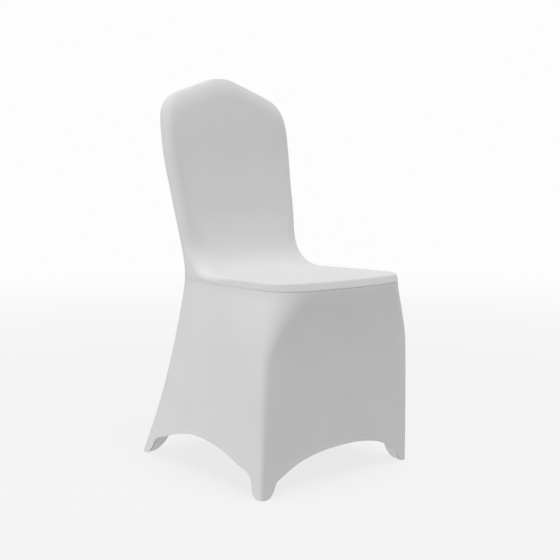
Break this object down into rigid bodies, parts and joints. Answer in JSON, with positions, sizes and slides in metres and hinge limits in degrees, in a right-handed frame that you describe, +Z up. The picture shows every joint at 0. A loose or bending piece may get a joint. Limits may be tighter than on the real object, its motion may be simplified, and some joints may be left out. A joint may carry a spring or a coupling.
{
  "type": "fitted chair cover",
  "caption": "Fitted stretch-knit cover for a banquet chair, with a peaked crown, one-piece seat and back, arched skirt hem and foot pockets.",
  "frame": {"origin": "on the floor under the middle of the cover's bounding box", "axes": "+Z up; the front of the chair faces -Y; +X to the right as seen from the front"},
  "size_m": [0.459, 0.5287, 0.92],
  "materials": {
    "stretch_knit": "matt white stretch knit, smooth and taut"
  },
  "bodies": {
    "root": {"seat_and_inside_back": "stretch_knit", "outside_back": "stretch_knit", "skirt": "stretch_knit", "foot_pocket_front_left": "stretch_knit", "foot_pocket_front_right": "stretch_knit", "foot_pocket_rear_left": "stretch_knit", "foot_pocket_rear_right": "stretch_knit"}
  },
  "joints": []
}
